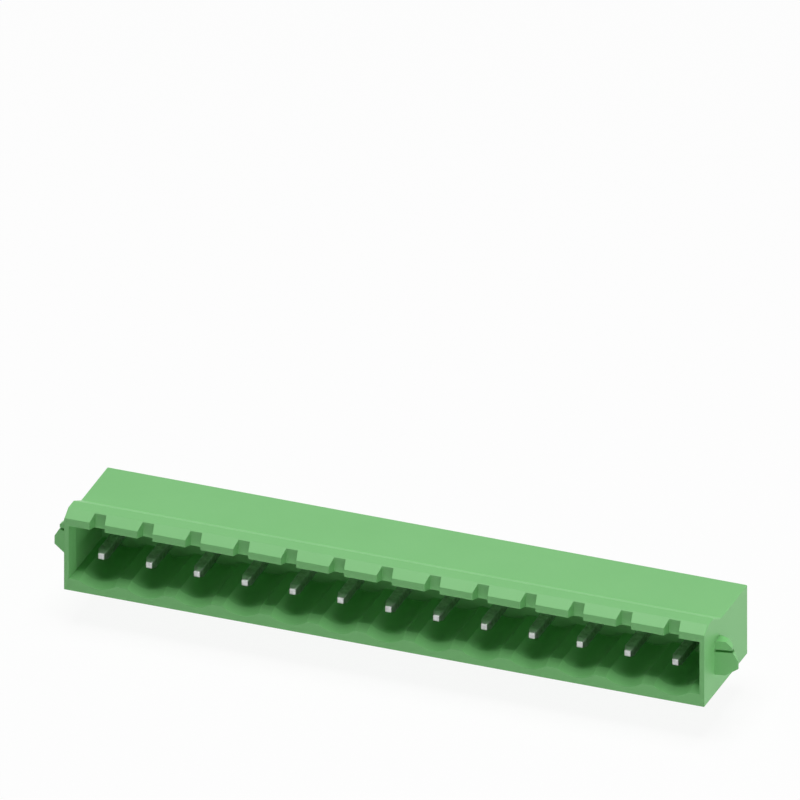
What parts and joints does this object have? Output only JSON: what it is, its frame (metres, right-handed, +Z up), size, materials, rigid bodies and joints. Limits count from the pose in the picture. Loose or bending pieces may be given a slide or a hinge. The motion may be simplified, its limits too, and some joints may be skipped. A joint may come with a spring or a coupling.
{
  "type": "board header for pluggable terminal block",
  "caption": "Long green moulded header with a scalloped mating cavity, a notched lip, small end noses and a row of square angled solder pins, made to hold a wiring plug on a circuit board",
  "frame": {"origin": "on the board's top face, at the middle of the row of solder tails", "axes": "+X along the row of poles, -Y the side the plug goes in from, +Z up off the board"},
  "size_m": [0.0726, 0.012, 0.0126],
  "materials": {
    "housing_plastic": "fine moulded, slightly satin",
    "tinned_contact": "bright tin plate"
  },
  "bodies": {
    "root": {"housing": "housing_plastic", "contact_pin_01": "tinned_contact", "contact_pin_02": "tinned_contact", "contact_pin_03": "tinned_contact", "contact_pin_04": "tinned_contact", "contact_pin_05": "tinned_contact", "contact_pin_06": "tinned_contact", "contact_pin_07": "tinned_contact", "contact_pin_08": "tinned_contact", "contact_pin_09": "tinned_contact", "contact_pin_10": "tinned_contact", "contact_pin_11": "tinned_contact", "contact_pin_12": "tinned_contact", "contact_pin_13": "tinned_contact"}
  },
  "joints": []
}
